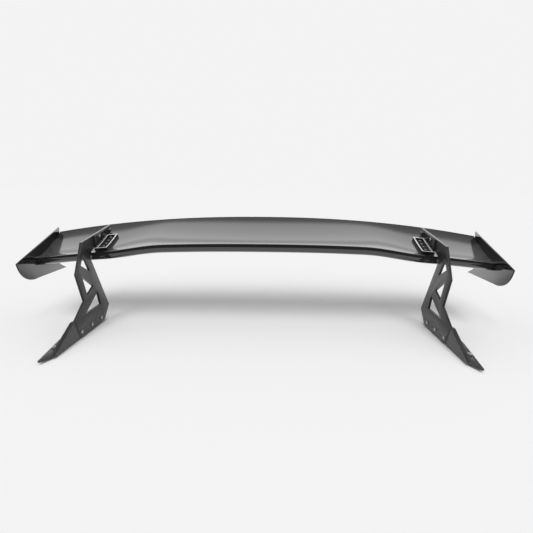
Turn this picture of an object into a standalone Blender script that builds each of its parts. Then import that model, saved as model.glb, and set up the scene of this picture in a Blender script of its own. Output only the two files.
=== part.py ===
"""Racing rear wing: one arched carbon blade with an endplate on each tip, hung from two swan-neck uprights.

Metres, +Z up, +X along the span, -Y towards the front of the car. Z = 0 is under the base bolts' ends.
Distances called "back" are measured rearwards from the front tips of the feet.
"""

import math

import bmesh
import bpy
import numpy as np
from mathutils import Vector
from mathutils.geometry import interpolate_bezier, tessellate_polygon

# Fits
GAP = 0.0003  # between two pieces that touch
HOLE_CLEARANCE = 0.0003  # from a hole's wall to the bolt in it
JOIN_OVERLAP = 0.0005  # how far two shapes that are joined into one run into each other

# Blade: two skins on a nose, two spars, a rib at each tip and an insert under each bracket
BLADE_HALF_SPAN = 0.8437
SKIN = 0.0015
LEADING_EDGE_BACK = 0.330  # at the centre
LEADING_EDGE_HEIGHT = 0.3016
LEADING_EDGE_SWEEP = 0.075  # how far the tips trail the centre
LEADING_EDGE_ARCH = 0.0542  # how far the tips hang below the centre
LEADING_EDGE_STEP = 0.016  # extra drop of the outer panels
STEP_START = 0.36
STEP_END = 0.58
CHORD_RUN = 0.273  # from the leading edge back to the trailing edge, at the centre
CHORD_RISE = 0.0974
TRAILING_EDGE_ARCH = 0.069
STATIONS = 36
SECTION_HEIGHT = 0.29  # what the section's heights are multiplied by, the same all along the span
NOSE_CHORD = 0.07  # share of the chord that is solid nose, moulded with the lower skin
RIB_THICKNESS = 0.012
FRONT_SPAR = (0.12, 0.18)  # shares of the chord
REAR_SPAR = (0.68, 0.74)
RIB_CHORD = (0.09, 0.88)
INSERT_CHORD = (0.20, 0.60)
INSERT_THICKNESS = 0.008

# Endplates
ENDPLATE_THICKNESS = 0.006
ENDPLATE_SCREW_CHORDS = (0.16, 0.42, 0.66)
ENDPLATE_SCREW_BITE = 0.009
ENDPLATE_CORNER = (-0.1275, 0.0186)  # back and up from the tip's leading edge
ENDPLATE_CORNER_BULGE = (0.018, -0.052)
ENDPLATE_SOLE = (0.000, -0.0550)
ENDPLATE_SOLE_BULGE = (-0.060, -0.006)
ENDPLATE_TAIL = (0.034, -0.153)  # back and up from the tip's trailing edge
ENDPLATE_HEEL = (-0.018, -0.131)
ENDPLATE_CREST = (-0.006, 0.020)

# Uprights
UPRIGHT_CENTRE = 0.620  # from the middle of the car to the middle of the plate
UPRIGHT_THICKNESS = 0.008
PIVOT_BEHIND = 0.0602  # the pivot behind the blade's leading edge, both at the upright
PIVOT_RISE = 0.0425  # above the blade's top surface
ANGLE_BOLT_OFFSET = (0.110, 0.0145)  # back and up from the pivot
ANGLE_RANGE = math.radians(2.5)  # each way
ARM_CORNER = (-0.138, -0.0085)  # the arm's outline, back and up from the pivot
ARM_REAR = (0.136, 0.0295)
ARM_UNDERSIDE = ((0.130, 0.0130), (-0.060, -0.0480), (-0.0765, -0.0685))
NECK_KNEES = ((0.275, 0.122), (0.225, 0.224))  # back, and height as drawn
LIGHTENING_HOLES = (
    ((0.286, 0.286), (0.336, 0.217), (0.264, 0.250)),
    ((0.268, 0.211), (0.358, 0.159), (0.303, 0.1365)),
    ((0.392, 0.131), (0.416, 0.077), (0.280, 0.077)),
)
UPRIGHT_HEEL = (0.4955, 0.048)  # back, and up from the plate's underside
UPRIGHT_SOLE = (0.231, 0.446)  # the underside's front and rear ends
DRAWN_PIVOT_HEIGHT = 0.3355  # the pivot's height when the neck was drawn

# Brackets on the blade
BRACKET_WEB = 0.006
BRACKET_WIDTH = 0.047
BRACKET_CHORD = (0.13, 0.60)
BRACKET_HEIGHT = 0.010
TRAY_FLOOR = 0.004
TRAY_RIM = 0.005
TRAY_SCREW_BITE = 0.007  # into the insert
BRACKET_WEB_TAIL = 0.014  # behind the angle bolt
BRACKET_WEB_NOSE = 0.040  # ahead of the pivot bolt
BRACKET_WEB_BELOW_ARM = 0.002
BRACKET_SCREW_CHORDS = (0.24, 0.335, 0.43, 0.525)

# Feet
BASE_HEIGHT = 0.008  # the plates' underside above the floor
FOOT_WEB = 0.008
FOOT_FLANGE = 0.005
FLANGE_REACH = 0.0517  # outboard from the web's inner face
FOOT_WEB_FRONT = 0.045
FOOT_REAR = 0.460
FOOT_TOP = 0.072
FOOT_PEAK = (0.192, 0.206)  # the high part of the web, from front to rear
FOOT_STEP = 0.0012  # how far the foot's inner face lies behind the upright's
FOOT_JOINT = 0.0006  # between the foot's rebate and the upright's front edge
FOOT_LAP_FRONT = 0.150  # where the web that laps the upright starts, inside the front block
FOOT_RAIL = 0.032  # the web's height behind its high part
FOOT_RAIL_FRONT = 0.235
FLANGE_TIP = ((0.0, 0.040), (0.0145, 0.0), (0.0200, 0.001))  # outboard from the web's inner face, and back
FLANGE_SHOULDER = 0.225
FOOT_BOLT_BACKS = (0.238, 0.324, 0.410)
FOOT_BOLT_RISE = 0.0165
BASE_BOLTS = ((0.110, 0.0157), (0.330, 0.0227))  # back, and outboard from the web's outer face
PANEL_ROOM = 0.0025  # between the foot and the mounting nuts, for the panel they clamp

# Fasteners: shank radius, head radius, head height
M8_BASE = (0.0040, 0.0072, 0.0055)
M6 = (0.0030, 0.0064, 0.0042)
M5 = (0.0025, 0.0045, 0.0026)
NUT_HEIGHT = 0.005
BOLT_END = 0.001  # past the nut
DRILL_HEAD = 0.004  # how far a drilled hole's cutter starts above its bolt's seat
ROUND_SIDES = 12

SIDES = {"left": -1, "right": 1}


# Materials


def principled(name, colour, roughness, metallic, coat=0.0):
    material = bpy.data.materials.new(name)
    material.use_nodes = True
    shader = material.node_tree.nodes["Principled BSDF"]
    shader.inputs["Base Color"].default_value = (*colour, 1.0)
    shader.inputs["Roughness"].default_value = roughness
    shader.inputs["Metallic"].default_value = metallic
    shader.inputs["Coat Weight"].default_value = coat
    return material


# The blade's shape


def smooth_step(value, low, high):
    share = min(max((value - low) / (high - low), 0.0), 1.0)
    return share * share * (3.0 - 2.0 * share)


def leading_edge(x):
    """(back, height) of the chord line's front end at span position x."""
    reach = abs(x) / BLADE_HALF_SPAN
    back = LEADING_EDGE_BACK + LEADING_EDGE_SWEEP * reach**3
    drop = LEADING_EDGE_ARCH * reach**2.5 + LEADING_EDGE_STEP * smooth_step(abs(x), STEP_START, STEP_END)
    return back, LEADING_EDGE_HEIGHT - drop


def trailing_edge(x):
    reach = abs(x) / BLADE_HALF_SPAN
    height = LEADING_EDGE_HEIGHT + CHORD_RISE - TRAILING_EDGE_ARCH * reach**2.17
    return LEADING_EDGE_BACK + CHORD_RUN, height


def bezier(start, handle_a, handle_b, end, count):
    corners = [Vector((*point, 0.0)) for point in (start, handle_a, handle_b, end)]
    return [(point.x, point.y) for point in interpolate_bezier(*corners, count)]


# The section: share of the chord, then height above the chord line. The top is the pressure side.
NOSE_TOP = bezier((0.0, 0.0), (0.0, 0.032), (0.040, 0.0568), (NOSE_CHORD, 0.049), 6)
TOP = bezier((NOSE_CHORD, 0.049), (0.15, 0.028), (0.62, -0.030), (1.0, 0.0035), 13)
BOTTOM = (
    bezier((0.0, 0.0), (0.0, -0.052), (0.13, -0.105), (0.38, -0.103), 9)
    + bezier((0.38, -0.103), (0.62, -0.100), (0.85, -0.035), (1.0, -0.0035), 8)[1:]
)


def height_on(curve, chord_share):
    return float(np.interp(chord_share, [point[0] for point in curve], [point[1] for point in curve]))


def middle_height(chord_share):
    return (height_on(TOP, chord_share) + height_on(BOTTOM, chord_share)) / 2


def chord_length(x):
    return math.dist(leading_edge(x), trailing_edge(x))


def blade_point(x, chord_share, height_share):
    """World point of a section point at span position x."""
    front = Vector(leading_edge(x))
    chord = Vector(trailing_edge(x)) - front
    up = Vector((-chord.y, chord.x)).normalized() * SECTION_HEIGHT
    back, height = front + chord * chord_share + up * height_share
    return Vector((x, back - HALF_LENGTH, height))


def top_point(x, chord_share, above=0.0):
    """World point at a height in metres above the blade's top surface, square to the chord."""
    return blade_point(x, chord_share, height_on(TOP, chord_share) + above / SECTION_HEIGHT)


def top_share_at(x, back):
    """Chord share of the top surface at a given distance back."""
    low, high = NOSE_CHORD, 1.0
    for _ in range(30):
        middle = (low + high) / 2
        if top_point(x, middle).y + HALF_LENGTH < back:
            low = middle
        else:
            high = middle
    return (low + high) / 2


def top_normal(x, chord_share):
    step = 0.002
    along_chord = top_point(x, chord_share + step) - top_point(x, chord_share - step)
    along_span = top_point(x + step, chord_share) - top_point(x - step, chord_share)
    return along_span.cross(along_chord).normalized()


# Places that follow from the sizes above

TIP_FRONT = Vector(leading_edge(BLADE_HALF_SPAN))
TIP_REAR = Vector(trailing_edge(BLADE_HALF_SPAN))
HALF_LENGTH = (TIP_REAR.x + ENDPLATE_TAIL[0]) / 2
PIVOT_BACK = leading_edge(UPRIGHT_CENTRE)[0] + PIVOT_BEHIND
BRACKET_OUTER = UPRIGHT_CENTRE - UPRIGHT_THICKNESS / 2 - GAP
BRACKET_WEB_INNER = BRACKET_OUTER - BRACKET_WEB
BRACKET_INNER = BRACKET_OUTER - BRACKET_WIDTH
FOOT_INNER = UPRIGHT_CENTRE + UPRIGHT_THICKNESS / 2 + GAP
PIVOT_HEIGHT = top_point(BRACKET_OUTER, top_share_at(BRACKET_OUTER, PIVOT_BACK)).z + PIVOT_RISE
PIVOT = Vector((PIVOT_BACK, PIVOT_HEIGHT))
ANGLE_BOLT = PIVOT + Vector(ANGLE_BOLT_OFFSET)


def neck_height(height):
    """Stretches the neck's drawn heights between the top of the foot and the pivot."""
    stretch = (PIVOT_HEIGHT - FOOT_TOP) / (DRAWN_PIVOT_HEIGHT - FOOT_TOP)
    return FOOT_TOP + (height - FOOT_TOP) * stretch


# Building blocks


def new_object(name, mesh, material):
    made = bpy.data.objects.new(name, mesh)
    bpy.context.collection.objects.link(made)
    mesh.materials.append(material)
    return made


def mesh_from(name, points, faces):
    mesh = bpy.data.meshes.new(name)
    mesh.from_pydata([tuple(point) for point in points], [], faces)
    shape = bmesh.new()
    shape.from_mesh(mesh)
    bmesh.ops.recalc_face_normals(shape, faces=shape.faces)
    shape.to_mesh(mesh)
    shape.free()
    return mesh


def plate_mesh(name, outline, holes, low, high, to_world):
    """A flat plate from low to high across its plane, where its loops are drawn. to_world places a point."""
    loops = [outline, *holes]
    flat = [point for loop in loops for point in loop]
    triangles = tessellate_polygon([[Vector((*point, 0.0)) for point in loop] for loop in loops])
    points = [to_world(across, u, v) for across in (low, high) for u, v in flat]
    count = len(flat)
    faces = [tuple(triangle) for triangle in triangles]
    faces += [tuple(index + count for index in reversed(triangle)) for triangle in triangles]
    start = 0
    for loop in loops:
        size = len(loop)
        for index in range(size):
            here = start + index
            after = start + (index + 1) % size
            faces.append((here, after, after + count, here + count))
        start += size
    return mesh_from(name, points, faces)


def upright_plane(across, back, height):
    return across, back - HALF_LENGTH, height


def floor_plane(across, x, back):
    return x, back - HALF_LENGTH, across


def spread(side, low, high):
    """Span limits of a piece on one side, in rising order."""
    return sorted((side * low, side * high))


def loft_mesh(name, sections):
    """A closed solid through equal closed loops, capped at both ends."""
    size = len(sections[0])
    points = [point for section in sections for point in section]
    faces = [tuple(range(size)), tuple(range(len(points) - 1, len(points) - 1 - size, -1))]
    for row in range(len(sections) - 1):
        for index in range(size):
            after = (index + 1) % size
            faces.append(
                (row * size + index, row * size + after, (row + 1) * size + after, (row + 1) * size + index)
            )
    return mesh_from(name, points, faces)


def circle(centre, radius, sides=ROUND_SIDES, turned=0.5):
    turns = [2 * math.pi * (index + turned) / sides for index in range(sides)]
    return [(centre[0] + radius * math.cos(turn), centre[1] + radius * math.sin(turn)) for turn in turns]


def bores(centres, shank):
    """Clearance holes, each turned a little from the last so that no two have corners in one line."""
    radius = shank + HOLE_CLEARANCE
    return [circle(centre, radius, turned=0.5 + 0.07 * index) for index, centre in enumerate(centres)]


def fastener_mesh(name, size, length, head_sides=ROUND_SIDES):
    """A bolt or screw along Z: its head stands above Z = 0 and its shank goes down to -length."""
    shank, head, height = size
    rings = [
        circle((0, 0), head, head_sides),
        circle((0, 0), head, head_sides),
        circle((0, 0), shank),
        circle((0, 0), shank),
    ]
    heights = (height, 0.0, 0.0, -length)
    shape = bmesh.new()
    loops = [
        [shape.verts.new((x, y, z)) for x, y in ring] for ring, z in zip(rings, heights, strict=True)
    ]
    shape.faces.new(loops[0])
    shape.faces.new(loops[3])
    for upper, lower in ((0, 1), (2, 3)):
        sides = len(loops[upper])
        for index in range(sides):
            after = (index + 1) % sides
            top, bottom = loops[upper], loops[lower]
            shape.faces.new((top[index], top[after], bottom[after], bottom[index]))
    edges = []
    for ring in loops[1:3]:
        edges += [shape.edges.get((ring[index - 1], ring[index])) for index in range(len(ring))]
    bmesh.ops.bridge_loops(shape, edges=edges)
    bmesh.ops.recalc_face_normals(shape, faces=shape.faces)
    mesh = bpy.data.meshes.new(name)
    shape.to_mesh(mesh)
    shape.free()
    return mesh


def nut_mesh(name, size):
    """A hexagon nut with its bearing face on Z = 0, below which it stands."""
    shank, head, _ = size

    def along_z(across, u, v):
        return u, v, across

    bore = circle((0, 0), shank + HOLE_CLEARANCE)
    return plate_mesh(name, circle((0, 0), head, 6), [bore], -NUT_HEIGHT, 0.0, along_z)


def aim(made, place, axis):
    """Puts a fastener's bearing face at place, with its head on the axis's side."""
    made.location = place
    made.rotation_mode = "QUATERNION"
    made.rotation_quaternion = Vector((0, 0, 1)).rotation_difference(Vector(axis))


def cut(target, cutter, operation="DIFFERENCE"):
    cutter.hide_render = True
    cutter.display_type = "WIRE"
    step = target.modifiers.new(cutter.name, "BOOLEAN")
    step.operation = operation
    step.solver = "EXACT"
    step.object = cutter


def drill(name, place, axis, shank, depth, material):
    """A round cutter for a bolt's clearance hole, from just above its seat down to a depth."""
    ring = circle((0, 0), shank + HOLE_CLEARANCE)
    sections = [[(x, y, z) for x, y in ring] for z in (DRILL_HEAD, -depth)]
    made = new_object(name, loft_mesh(name, sections), material)
    aim(made, place, axis)
    return made


def move_with(pivot, made):
    """Hangs a piece on the pivot's empty, where it is."""
    made.parent = pivot
    made.matrix_parent_inverse = pivot.matrix_world.inverted()


# Sub-parts of the blade


def span_stations(low, high, count):
    return [low + (high - low) * index / count for index in range(count + 1)]


def upper_skin(carbon):
    sections = []
    for x in span_stations(-BLADE_HALF_SPAN, BLADE_HALF_SPAN, STATIONS):
        shares = [NOSE_CHORD + 1.2 * GAP / chord_length(x)] + [point[0] for point in TOP[1:]]
        outer = [blade_point(x, share, height_on(TOP, share)) for share in shares]
        inner = []
        for share in reversed(shares):
            floor = middle_height(share) + GAP / 2 / SECTION_HEIGHT
            inner.append(blade_point(x, share, max(height_on(TOP, share) - SKIN / SECTION_HEIGHT, floor)))
        sections.append(outer + inner)
    return new_object("wing_upper_skin", loft_mesh("wing_upper_skin", sections), carbon)


def lower_skin(carbon):
    sections = []
    for x in span_stations(-BLADE_HALF_SPAN, BLADE_HALF_SPAN, STATIONS):
        outer = [blade_point(x, *point) for point in reversed(BOTTOM)]
        nose = [blade_point(x, *point) for point in NOSE_TOP[1:]]
        inner = []
        for share in [NOSE_CHORD] + [point[0] for point in BOTTOM if point[0] > NOSE_CHORD + 0.01]:
            roof = middle_height(share) - GAP / 2 / SECTION_HEIGHT
            inner.append(blade_point(x, share, min(height_on(BOTTOM, share) + SKIN / SECTION_HEIGHT, roof)))
        sections.append(outer + nose + inner)
    return new_object("wing_lower_skin", loft_mesh("wing_lower_skin", sections), carbon)


def core_section(x, shares):
    """Closed loop that fills the blade between its skins, over some shares of the chord."""
    inset = (SKIN + GAP) / SECTION_HEIGHT
    top = [blade_point(x, share, height_on(TOP, share) - inset) for share in shares]
    bottom = [blade_point(x, share, height_on(BOTTOM, share) + inset) for share in reversed(shares)]
    return top + bottom


def spar(name, shares, carbon):
    reach = BLADE_HALF_SPAN - RIB_THICKNESS - GAP
    across = (shares[0], (shares[0] + shares[1]) / 2, shares[1])
    sections = [core_section(x, across) for x in span_stations(-reach, reach, STATIONS)]
    return new_object(name, loft_mesh(name, sections), carbon)


def tip_rib(label, side, material):
    shares = [RIB_CHORD[0] + (RIB_CHORD[1] - RIB_CHORD[0]) * index / 10 for index in range(11)]
    limits = spread(side, BLADE_HALF_SPAN - RIB_THICKNESS, BLADE_HALF_SPAN)
    name = f"tip_rib_{label}"
    return new_object(name, loft_mesh(name, [core_section(x, shares) for x in limits]), material)


def mount_insert(label, side, material):
    shares = [INSERT_CHORD[0] + (INSERT_CHORD[1] - INSERT_CHORD[0]) * index / 6 for index in range(7)]
    sections = []
    for x in span_stations(*spread(side, BRACKET_INNER + TRAY_RIM, BRACKET_WEB_INNER), 3):
        top = [top_point(x, share, -SKIN - GAP) for share in shares]
        bottom = [top_point(x, share, -SKIN - GAP - INSERT_THICKNESS) for share in reversed(shares)]
        sections.append(top + bottom)
    name = f"mount_insert_{label}"
    return new_object(name, loft_mesh(name, sections), material)


def endplate_outline():
    corner = TIP_FRONT + Vector(ENDPLATE_CORNER)
    sole = TIP_FRONT + Vector(ENDPLATE_SOLE)
    handles = (corner + Vector(ENDPLATE_CORNER_BULGE), sole + Vector(ENDPLATE_SOLE_BULGE))
    belly = bezier(corner, *handles, sole, 14)
    rear = [tuple(TIP_REAR + Vector(offset)) for offset in (ENDPLATE_TAIL, ENDPLATE_HEEL, ENDPLATE_CREST)]
    return belly + rear


def tip_screw_centres():
    """(back, height) of each endplate screw, on the middle of the tip section."""
    centres = []
    for share in ENDPLATE_SCREW_CHORDS:
        point = blade_point(BLADE_HALF_SPAN, share, middle_height(share))
        centres.append((point.y + HALF_LENGTH, point.z))
    return centres


def endplate(label, side, carbon):
    name = f"endplate_{label}"
    holes = bores(tip_screw_centres(), M5[0])
    limits = spread(side, BLADE_HALF_SPAN + GAP, BLADE_HALF_SPAN + GAP + ENDPLATE_THICKNESS)
    return new_object(name, plate_mesh(name, endplate_outline(), holes, *limits, upright_plane), carbon)


def endplate_screws(label, side, rib, steel):
    """Screws through the endplate into the rib, which is drilled for them."""
    made = []
    outer = BLADE_HALF_SPAN + GAP + ENDPLATE_THICKNESS
    depth = ENDPLATE_THICKNESS + GAP + ENDPLATE_SCREW_BITE
    mesh = fastener_mesh(f"endplate_screw_{label}", M5, depth)
    for number, (back, height) in enumerate(tip_screw_centres(), 1):
        place = Vector((side * (outer + GAP), back - HALF_LENGTH, height))
        screw = new_object(f"endplate_screw_{label}_{number}", mesh, steel)
        aim(screw, place, (side, 0, 0))
        cut(rib, drill(f"rib_drill_{label}_{number}", place, (side, 0, 0), M5[0], depth + GAP, steel))
        made.append(screw)
    return made


# Brackets


def arm_line(back, below):
    """Height of a line parallel to the arm's top edge, a distance below it."""
    front = PIVOT + Vector(ARM_CORNER)
    rear = PIVOT + Vector(ARM_REAR)
    return front.y + (rear.y - front.y) * (back - front.x) / (rear.x - front.x) - below


def slot_outline():
    """Arc slot about the pivot for the angle bolt, as long as the angle range."""
    half_width = M6[0] + HOLE_CLEARANCE
    radius = math.hypot(*ANGLE_BOLT_OFFSET)
    middle = math.atan2(ANGLE_BOLT_OFFSET[1], ANGLE_BOLT_OFFSET[0])
    low, high = middle - ANGLE_RANGE, middle + ANGLE_RANGE

    def end_points(turn, facing):
        centre = PIVOT + Vector((math.cos(turn), math.sin(turn))) * radius
        angles = [facing + turn + math.pi * step / 6 for step in range(7)]
        return [tuple(centre + Vector((math.cos(angle), math.sin(angle))) * half_width) for angle in angles]

    return end_points(high, 0.0) + end_points(low, math.pi)


def bracket_base_loop(x, shares, low, high):
    bottom = [top_point(x, share, low) for share in shares]
    return bottom + [top_point(x, share, high) for share in reversed(shares)]


def bracket_web_outline():
    """The web's lower edge is sunk in the base, and behind the base it clears the blade."""
    rear = ANGLE_BOLT.x + BRACKET_WEB_TAIL
    front_share, rear_share = BRACKET_CHORD
    sunk = BRACKET_HEIGHT / 2
    lower = []
    for share in (front_share + 0.015, 0.3, 0.45, rear_share - 0.015):
        point = top_point(BRACKET_OUTER, share, sunk)
        lower.append((point.y + HALF_LENGTH, point.z))
    tail = top_point(BRACKET_OUTER, top_share_at(BRACKET_OUTER, rear), sunk)
    lower.append((rear, tail.z))
    upper = [(back, arm_line(back, BRACKET_WEB_BELOW_ARM)) for back in (rear, PIVOT.x - BRACKET_WEB_NOSE)]
    return lower + upper


def wing_bracket(label, side, alloy):
    """Base tray on the blade, with an upstanding web against the upright."""
    name = f"wing_bracket_{label}"
    shares = [BRACKET_CHORD[0] + (BRACKET_CHORD[1] - BRACKET_CHORD[0]) * index / 8 for index in range(9)]
    stations = span_stations(*spread(side, BRACKET_INNER, BRACKET_OUTER - JOIN_OVERLAP), 3)
    loops = [bracket_base_loop(x, shares, GAP, BRACKET_HEIGHT) for x in stations]
    made = new_object(name, loft_mesh(name, loops), alloy)
    inset = TRAY_RIM / chord_length(BRACKET_INNER)
    tray_shares = [shares[0] + inset + (shares[-1] - shares[0] - 2 * inset) * index / 8 for index in range(9)]
    tray_stations = span_stations(*spread(side, BRACKET_INNER + TRAY_RIM, BRACKET_WEB_INNER - TRAY_RIM), 3)
    tray_loops = [bracket_base_loop(x, tray_shares, TRAY_FLOOR, 2 * BRACKET_HEIGHT) for x in tray_stations]
    cut(made, new_object(f"tray_cutter_{label}", loft_mesh(f"tray_cutter_{label}", tray_loops), alloy))
    holes = [*bores([tuple(PIVOT)], M6[0]), slot_outline()]
    limits = spread(side, BRACKET_WEB_INNER, BRACKET_OUTER)
    web = plate_mesh(f"bracket_web_{label}", bracket_web_outline(), holes, *limits, upright_plane)
    cut(made, new_object(f"bracket_web_{label}", web, alloy), "UNION")
    return made


def bracket_screws(label, side, drilled, steel):
    """Four screws in the tray, through the upper skin into the insert. drilled lists the pieces they pass."""
    made = []
    x = side * (BRACKET_INNER + BRACKET_WEB_INNER) / 2
    depth = TRAY_FLOOR + SKIN + TRAY_SCREW_BITE
    mesh = fastener_mesh(f"bracket_screw_{label}", M5, depth)
    for number, share in enumerate(BRACKET_SCREW_CHORDS, 1):
        normal = top_normal(x, share)
        place = top_point(x, share) + normal * (TRAY_FLOOR + 2 * GAP)
        screw = new_object(f"bracket_screw_{label}_{number}", mesh, steel)
        aim(screw, place, normal)
        driller = drill(f"screw_drill_{label}_{number}", place, normal, M5[0], depth + GAP, steel)
        for piece in drilled:
            cut(piece, driller)
        made.append(screw)
    return made


# Uprights and feet


def foot_bolt_centres():
    return [(back, BASE_HEIGHT + FOOT_BOLT_RISE) for back in FOOT_BOLT_BACKS]


def upright_outline():
    heel = (UPRIGHT_HEEL[0], BASE_HEIGHT + UPRIGHT_HEEL[1])
    sole = [(back, BASE_HEIGHT) for back in reversed(UPRIGHT_SOLE)]
    lower = [heel, *sole, (FOOT_PEAK[0], FOOT_TOP)]
    knees = [(back, neck_height(height)) for back, height in NECK_KNEES]
    arm = [tuple(PIVOT + Vector(offset)) for offset in (ARM_CORNER, ARM_REAR, *ARM_UNDERSIDE)]
    return lower + knees + arm


def upright(label, side, alloy):
    name = f"upright_{label}"
    holes = [[(back, neck_height(height)) for back, height in hole] for hole in LIGHTENING_HOLES]
    bolts = [*foot_bolt_centres(), tuple(PIVOT), tuple(ANGLE_BOLT)]
    holes += bores(bolts, M6[0])
    half = UPRIGHT_THICKNESS / 2
    limits = spread(side, UPRIGHT_CENTRE - half, UPRIGHT_CENTRE + half)
    return new_object(name, plate_mesh(name, upright_outline(), holes, *limits, upright_plane), alloy)


def base_bolt_places(side):
    outer = FOOT_INNER + FOOT_WEB
    return [(side * (outer + outboard), back) for back, outboard in BASE_BOLTS]


def upright_front(height):
    """How far back the upright's lower front edge is, between its sole and the top of the foot."""
    share = (height - BASE_HEIGHT) / (FOOT_TOP - BASE_HEIGHT)
    return UPRIGHT_SOLE[0] + (FOOT_PEAK[0] - UPRIGHT_SOLE[0]) * share


def foot(label, side, alloy):
    """A block ahead of the upright, a web that laps its outer face, and a base flange that runs to a tip."""
    name = f"foot_{label}"
    low = BASE_HEIGHT + JOIN_OVERLAP
    lap_outline = [
        (FOOT_LAP_FRONT, low),
        (FOOT_REAR - 4 * JOIN_OVERLAP, low),
        (FOOT_REAR - 12 * JOIN_OVERLAP, BASE_HEIGHT + FOOT_RAIL),
        (FOOT_RAIL_FRONT, BASE_HEIGHT + FOOT_RAIL),
        (FOOT_PEAK[1], FOOT_TOP - 2 * JOIN_OVERLAP),
        (FOOT_PEAK[0] - 8 * JOIN_OVERLAP, FOOT_TOP - 6 * JOIN_OVERLAP),
    ]
    holes = bores(foot_bolt_centres(), M6[0])
    limits = spread(side, FOOT_INNER, FOOT_INNER + FOOT_WEB)
    made = new_object(name, plate_mesh(name, lap_outline, holes, *limits, upright_plane), alloy)
    block_low = low + JOIN_OVERLAP
    rebate = [(upright_front(height) - FOOT_JOINT, height) for height in (block_low, FOOT_TOP)]
    block_outline = [(FOOT_WEB_FRONT, block_low), *rebate]
    block_inner = UPRIGHT_CENTRE - UPRIGHT_THICKNESS / 2 + FOOT_STEP
    limits = spread(side, block_inner, FOOT_INNER + FOOT_WEB - JOIN_OVERLAP)
    block = plate_mesh(f"foot_block_{label}", block_outline, [], *limits, upright_plane)
    cut(made, new_object(f"foot_block_{label}", block, alloy), "UNION")
    inner = FOOT_INNER + JOIN_OVERLAP
    outer = FOOT_INNER + FLANGE_REACH
    plan = [(inner + outboard, back) for outboard, back in FLANGE_TIP]
    plan += [(outer, FLANGE_SHOULDER), (outer, FOOT_REAR), (inner, FOOT_REAR)]
    flange_outline = [(side * x, back) for x, back in plan]
    holes = bores(base_bolt_places(side), M8_BASE[0])
    heights = (BASE_HEIGHT, BASE_HEIGHT + FOOT_FLANGE)
    flange = plate_mesh(f"flange_{label}", flange_outline, holes, *heights, floor_plane)
    cut(made, new_object(f"flange_{label}", flange, alloy), "UNION")
    return made


# Bolts and nuts


def bolt_through(label, side, names, centre, inner, outer, steel):
    """A bolt along X with its head inboard at inner, and its nut outboard at outer."""
    inboard = Vector((side * (inner - GAP), centre[0] - HALF_LENGTH, centre[1]))
    outboard = Vector((side * (outer + GAP), centre[0] - HALF_LENGTH, centre[1]))
    length = outer - inner + 2 * GAP + NUT_HEIGHT + BOLT_END
    bolt = new_object(names[0], fastener_mesh(names[0], M6, length), steel)
    aim(bolt, inboard, (-side, 0, 0))
    nut = new_object(names[1], nut_mesh(names[1], M6), steel)
    aim(nut, outboard, (-side, 0, 0))
    return bolt, nut


def base_fastener(label, number, place, steel):
    """A mounting bolt down through the flange, its nut left where it would clamp a panel.

    The bolts' ends are what the object stands on.
    """
    x, back = place
    top = BASE_HEIGHT + FOOT_FLANGE + GAP
    name = f"base_bolt_{label}_{number}"
    bolt = new_object(name, fastener_mesh(name, M8_BASE, top, 6), steel)
    aim(bolt, Vector((x, back - HALF_LENGTH, top)), (0, 0, 1))
    name = f"base_nut_{label}_{number}"
    nut = new_object(name, nut_mesh(name, M8_BASE), steel)
    aim(nut, Vector((x, back - HALF_LENGTH, BASE_HEIGHT - PANEL_ROOM)), (0, 0, 1))


def shade(made):
    made.data.shade_smooth()
    made.data.set_sharp_from_angle(angle=math.radians(30))


def clear_scene():
    for old in list(bpy.data.objects):
        bpy.data.objects.remove(old, do_unlink=True)


def build():
    clear_scene()
    carbon = principled("gloss_carbon", (0.012, 0.012, 0.013), 0.22, 0.0, 1.0)
    satin = principled("satin_black_alloy", (0.03, 0.03, 0.032), 0.42, 0.3)
    plain = principled("plain_alloy", (0.55, 0.56, 0.58), 0.4, 1.0)
    steel = principled("bright_steel", (0.6, 0.6, 0.62), 0.28, 1.0)
    pivot = bpy.data.objects.new("wing_pivot", None)
    pivot.location = (0.0, PIVOT.x - HALF_LENGTH, PIVOT.y)
    bpy.context.collection.objects.link(pivot)
    bpy.context.view_layer.update()

    skin = upper_skin(carbon)
    moving = [skin, lower_skin(carbon)]
    moving += [spar("front_spar", FRONT_SPAR, carbon), spar("rear_spar", REAR_SPAR, carbon)]
    for label, side in SIDES.items():
        rib = tip_rib(label, side, plain)
        insert = mount_insert(label, side, plain)
        bracket = wing_bracket(label, side, satin)
        moving += [rib, insert, bracket, endplate(label, side, carbon)]
        moving += endplate_screws(label, side, rib, steel)
        moving += bracket_screws(label, side, (bracket, skin, insert), steel)
        upright(label, side, satin)
        foot(label, side, satin)
        upright_outer = FOOT_INNER - GAP
        joints = (("pivot", PIVOT), ("angle", ANGLE_BOLT))
        for word, centre in joints:
            names = (f"{word}_bolt_{label}", f"{word}_nut_{label}")
            bolt_through(label, side, names, tuple(centre), BRACKET_WEB_INNER, upright_outer, steel)
        for number, centre in enumerate(foot_bolt_centres(), 1):
            names = (f"foot_bolt_{label}_{number}", f"foot_nut_{label}_{number}")
            inner = UPRIGHT_CENTRE - UPRIGHT_THICKNESS / 2
            bolt_through(label, side, names, centre, inner, FOOT_INNER + FOOT_WEB, steel)
        for number, place in enumerate(base_bolt_places(side), 1):
            base_fastener(label, number, place, steel)
    for piece in moving:
        move_with(pivot, piece)
    for made in bpy.data.objects:
        if made.type == "MESH":
            shade(made)


build()
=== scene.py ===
"""Racing rear wing: the looks of its pieces, in the order that the wing is put together."""

import math

import bmesh
import bpy
from mathutils import Matrix, Vector
from mathutils.geometry import interpolate_bezier


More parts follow.
